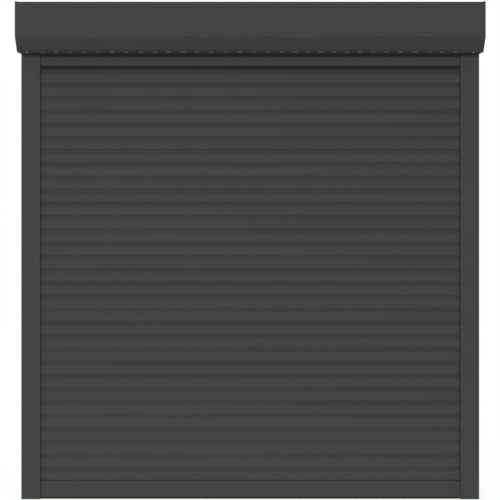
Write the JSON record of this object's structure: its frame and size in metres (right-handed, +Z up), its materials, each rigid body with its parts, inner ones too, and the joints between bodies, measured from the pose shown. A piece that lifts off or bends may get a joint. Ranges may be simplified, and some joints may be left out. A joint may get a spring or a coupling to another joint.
{
  "type": "exterior roller shutter",
  "caption": "Exterior roller shutter with a sloped box, side guide rails, a motor-driven shaft and a curtain of interlocked slats that rises into the box.",
  "frame": {"origin": "on the sill, midway between the guide rails and midway through the depth of the box", "axes": "+Z up, +X to the right seen from outdoors, -Y towards outdoors"},
  "size_m": [1.3, 0.137, 1.3946],
  "materials": {
    "coated_aluminium": "anthracite powder coat, matt, fine texture",
    "coated_slat": "anthracite stoved enamel, matt",
    "brush_pile": "dense black pile",
    "black_plastic": "moulded, matt",
    "black_rubber": "extruded, matt",
    "stainless_steel": "turned, satin",
    "zinc_steel": "zinc plated, spangled",
    "spring_steel": "blued, satin",
    "bearing_steel": "ground",
    "motor_casing": "drawn tube, satin"
  },
  "bodies": {
    "frame": {"box_top_panel": "coated_aluminium", "box_front_panel": "coated_aluminium", "box_inspection_cover": "coated_aluminium", "box_back_panel": "coated_aluminium", "end_cap_left": "coated_aluminium", "end_cap_right": "coated_aluminium", "guide_rail_left": "coated_aluminium", "guide_rail_right": "coated_aluminium", "guide_brush_seals": "brush_pile", "guide_foot_plugs": "black_plastic", "cable_gland": "black_rubber", "cover_screws": "stainless_steel", "frame_screws": "zinc_steel", "motor_tube": "motor_casing", "motor_head": "black_plastic", "motor_bracket": "zinc_steel", "bearing_bracket": "zinc_steel", "bearing_outer_ring": "bearing_steel", "bearing_balls": "bearing_steel"},
    "bottom_bar": {"end_bar": "coated_aluminium", "end_bar_seal": "black_rubber", "end_bar_plugs": "black_plastic"},
    "roller": {"roller_shaft": "zinc_steel", "drive_wheel": "black_plastic", "crown_ring": "black_plastic", "idler_cap": "black_plastic", "bearing_inner_ring": "bearing_steel", "hanger_straps": "spring_steel"},
    "slat_01": {"slat_01": "coated_slat"},
    "slat_02": {"slat_02": "coated_slat"},
    "slat_03": {"slat_03": "coated_slat"},
    "slat_04": {"slat_04": "coated_slat"},
    "slat_05": {"slat_05": "coated_slat"},
    "slat_06": {"slat_06": "coated_slat"},
    "slat_07": {"slat_07": "coated_slat"},
    "slat_08": {"slat_08": "coated_slat"},
    "slat_09": {"slat_09": "coated_slat"},
    "slat_10": {"slat_10": "coated_slat"},
    "slat_11": {"slat_11": "coated_slat"},
    "slat_12": {"slat_12": "coated_slat"},
    "slat_13": {"slat_13": "coated_slat"},
    "slat_14": {"slat_14": "coated_slat"},
    "slat_15": {"slat_15": "coated_slat"},
    "slat_16": {"slat_16": "coated_slat"},
    "slat_17": {"slat_17": "coated_slat"},
    "slat_18": {"slat_18": "coated_slat"},
    "slat_19": {"slat_19": "coated_slat"},
    "slat_20": {"slat_20": "coated_slat"},
    "slat_21": {"slat_21": "coated_slat"},
    "slat_22": {"slat_22": "coated_slat"},
    "slat_23": {"slat_23": "coated_slat"},
    "slat_24": {"slat_24": "coated_slat"},
    "slat_25": {"slat_25": "coated_slat"},
    "slat_26": {"slat_26": "coated_slat"},
    "slat_27": {"slat_27": "coated_slat"},
    "slat_28": {"slat_28": "coated_slat"},
    "slat_29": {"slat_29": "coated_slat"},
    "slat_30": {"slat_30": "coated_slat"},
    "slat_31": {"slat_31": "coated_slat"},
    "slat_32": {"slat_32": "coated_slat"}
  },
  "joints": [
    {"name": "curtain_lift", "type": "slide", "parent": "frame", "child": "bottom_bar", "axis": [0, 0, 1], "range_m": [0, 1.2]},
    {"name": "slat_01_lift", "type": "slide", "parent": "frame", "child": "slat_01", "axis": [0, 0, 1], "range_m": [0, 0.0911], "deforming": ["slat_01"]},
    {"name": "slat_02_lift", "type": "slide", "parent": "frame", "child": "slat_02", "axis": [0, 0, 1], "range_m": [0, 0.1378], "deforming": ["slat_02"]},
    {"name": "slat_03_lift", "type": "slide", "parent": "frame", "child": "slat_03", "axis": [0, 0, 1], "range_m": [0, 0.1732], "deforming": ["slat_03"]},
    {"name": "slat_04_lift", "type": "slide", "parent": "frame", "child": "slat_04", "axis": [0, 0, 1], "range_m": [0, 0.2086], "deforming": ["slat_04"]},
    {"name": "slat_05_lift", "type": "slide", "parent": "frame", "child": "slat_05", "axis": [0, 0, 1], "range_m": [0, 0.244], "deforming": ["slat_05"]},
    {"name": "slat_06_lift", "type": "slide", "parent": "frame", "child": "slat_06", "axis": [0, 0, 1], "range_m": [0, 0.2795], "deforming": ["slat_06"]},
    {"name": "slat_07_lift", "type": "slide", "parent": "frame", "child": "slat_07", "axis": [0, 0, 1], "range_m": [0, 0.3149], "deforming": ["slat_07"]},
    {"name": "slat_08_lift", "type": "slide", "parent": "frame", "child": "slat_08", "axis": [0, 0, 1], "range_m": [0, 0.3503], "deforming": ["slat_08"]},
    {"name": "slat_09_lift", "type": "slide", "parent": "frame", "child": "slat_09", "axis": [0, 0, 1], "range_m": [0, 0.3857], "deforming": ["slat_09"]},
    {"name": "slat_10_lift", "type": "slide", "parent": "frame", "child": "slat_10", "axis": [0, 0, 1], "range_m": [0, 0.4211], "deforming": ["slat_10"]},
    {"name": "slat_11_lift", "type": "slide", "parent": "frame", "child": "slat_11", "axis": [0, 0, 1], "range_m": [0, 0.4565], "deforming": ["slat_11"]},
    {"name": "slat_12_lift", "type": "slide", "parent": "frame", "child": "slat_12", "axis": [0, 0, 1], "range_m": [0, 0.4919], "deforming": ["slat_12"]},
    {"name": "slat_13_lift", "type": "slide", "parent": "frame", "child": "slat_13", "axis": [0, 0, 1], "range_m": [0, 0.5273], "deforming": ["slat_13"]},
    {"name": "slat_14_lift", "type": "slide", "parent": "frame", "child": "slat_14", "axis": [0, 0, 1], "range_m": [0, 0.5628], "deforming": ["slat_14"]},
    {"name": "slat_15_lift", "type": "slide", "parent": "frame", "child": "slat_15", "axis": [0, 0, 1], "range_m": [0, 0.5982], "deforming": ["slat_15"]},
    {"name": "slat_16_lift", "type": "slide", "parent": "frame", "child": "slat_16", "axis": [0, 0, 1], "range_m": [0, 0.6336], "deforming": ["slat_16"]},
    {"name": "slat_17_lift", "type": "slide", "parent": "frame", "child": "slat_17", "axis": [0, 0, 1], "range_m": [0, 0.669], "deforming": ["slat_17"]},
    {"name": "slat_18_lift", "type": "slide", "parent": "frame", "child": "slat_18", "axis": [0, 0, 1], "range_m": [0, 0.7044], "deforming": ["slat_18"]},
    {"name": "slat_19_lift", "type": "slide", "parent": "frame", "child": "slat_19", "axis": [0, 0, 1], "range_m": [0, 0.7398], "deforming": ["slat_19"]},
    {"name": "slat_20_lift", "type": "slide", "parent": "frame", "child": "slat_20", "axis": [0, 0, 1], "range_m": [0, 0.7752], "deforming": ["slat_20"]},
    {"name": "slat_21_lift", "type": "slide", "parent": "frame", "child": "slat_21", "axis": [0, 0, 1], "range_m": [0, 0.8107], "deforming": ["slat_21"]},
    {"name": "slat_22_lift", "type": "slide", "parent": "frame", "child": "slat_22", "axis": [0, 0, 1], "range_m": [0, 0.8461], "deforming": ["slat_22"]},
    {"name": "slat_23_lift", "type": "slide", "parent": "frame", "child": "slat_23", "axis": [0, 0, 1], "range_m": [0, 0.8815], "deforming": ["slat_23"]},
    {"name": "slat_24_lift", "type": "slide", "parent": "frame", "child": "slat_24", "axis": [0, 0, 1], "range_m": [0, 0.9169], "deforming": ["slat_24"]},
    {"name": "slat_25_lift", "type": "slide", "parent": "frame", "child": "slat_25", "axis": [0, 0, 1], "range_m": [0, 0.9523], "deforming": ["slat_25"]},
    {"name": "slat_26_lift", "type": "slide", "parent": "frame", "child": "slat_26", "axis": [0, 0, 1], "range_m": [0, 0.9877], "deforming": ["slat_26"]},
    {"name": "slat_27_lift", "type": "slide", "parent": "frame", "child": "slat_27", "axis": [0, 0, 1], "range_m": [0, 1.0231], "deforming": ["slat_27"]},
    {"name": "slat_28_lift", "type": "slide", "parent": "frame", "child": "slat_28", "axis": [0, 0, 1], "range_m": [0, 1.0585], "deforming": ["slat_28"]},
    {"name": "slat_29_lift", "type": "slide", "parent": "frame", "child": "slat_29", "axis": [0, 0, 1], "range_m": [0, 1.094], "deforming": ["slat_29"]},
    {"name": "slat_30_lift", "type": "slide", "parent": "frame", "child": "slat_30", "axis": [0, 0, 1], "range_m": [0, 1.1294], "deforming": ["slat_30"]},
    {"name": "slat_31_lift", "type": "slide", "parent": "frame", "child": "slat_31", "axis": [0, 0, 1], "range_m": [0, 1.1648], "deforming": ["slat_31"]},
    {"name": "slat_32_lift", "type": "slide", "parent": "frame", "child": "slat_32", "axis": [0, 0, 1], "range_m": [0, 1.2002], "deforming": ["slat_32"]},
    {"name": "shaft_turn", "type": "hinge", "parent": "frame", "child": "roller", "pos_m": [0, 0, 1.3277], "axis": [1, 0, 0], "range_deg": [0, 1621], "deforming": ["hanger_straps"]}
  ],
  "couplings": [
    {"joint": "slat_01_lift", "follows": "curtain_lift", "ratio": 0.07574},
    {"joint": "slat_02_lift", "follows": "curtain_lift", "ratio": 0.11467},
    {"joint": "slat_03_lift", "follows": "curtain_lift", "ratio": 0.14418},
    {"joint": "slat_04_lift", "follows": "curtain_lift", "ratio": 0.17369},
    {"joint": "slat_05_lift", "follows": "curtain_lift", "ratio": 0.2032},
    {"joint": "slat_06_lift", "follows": "curtain_lift", "ratio": 0.23271},
    {"joint": "slat_07_lift", "follows": "curtain_lift", "ratio": 0.26222},
    {"joint": "slat_08_lift", "follows": "curtain_lift", "ratio": 0.29174},
    {"joint": "slat_09_lift", "follows": "curtain_lift", "ratio": 0.32125},
    {"joint": "slat_10_lift", "follows": "curtain_lift", "ratio": 0.35076},
    {"joint": "slat_11_lift", "follows": "curtain_lift", "ratio": 0.38027},
    {"joint": "slat_12_lift", "follows": "curtain_lift", "ratio": 0.40978},
    {"joint": "slat_13_lift", "follows": "curtain_lift", "ratio": 0.43929},
    {"joint": "slat_14_lift", "follows": "curtain_lift", "ratio": 0.4688},
    {"joint": "slat_15_lift", "follows": "curtain_lift", "ratio": 0.49831},
    {"joint": "slat_16_lift", "follows": "curtain_lift", "ratio": 0.52782},
    {"joint": "slat_17_lift", "follows": "curtain_lift", "ratio": 0.55734},
    {"joint": "slat_18_lift", "follows": "curtain_lift", "ratio": 0.58685},
    {"joint": "slat_19_lift", "follows": "curtain_lift", "ratio": 0.61636},
    {"joint": "slat_20_lift", "follows": "curtain_lift", "ratio": 0.64587},
    {"joint": "slat_21_lift", "follows": "curtain_lift", "ratio": 0.67538},
    {"joint": "slat_22_lift", "follows": "curtain_lift", "ratio": 0.70489},
    {"joint": "slat_23_lift", "follows": "curtain_lift", "ratio": 0.7344},
    {"joint": "slat_24_lift", "follows": "curtain_lift", "ratio": 0.76391},
    {"joint": "slat_25_lift", "follows": "curtain_lift", "ratio": 0.79342},
    {"joint": "slat_26_lift", "follows": "curtain_lift", "ratio": 0.82293},
    {"joint": "slat_27_lift", "follows": "curtain_lift", "ratio": 0.85245},
    {"joint": "slat_28_lift", "follows": "curtain_lift", "ratio": 0.88196},
    {"joint": "slat_29_lift", "follows": "curtain_lift", "ratio": 0.91147},
    {"joint": "slat_30_lift", "follows": "curtain_lift", "ratio": 0.94098},
    {"joint": "slat_31_lift", "follows": "curtain_lift", "ratio": 0.97049},
    {"joint": "slat_32_lift", "follows": "curtain_lift", "ratio": 1},
    {"joint": "shaft_turn", "follows": "curtain_lift", "rad_per_m": 23.562}
  ]
}
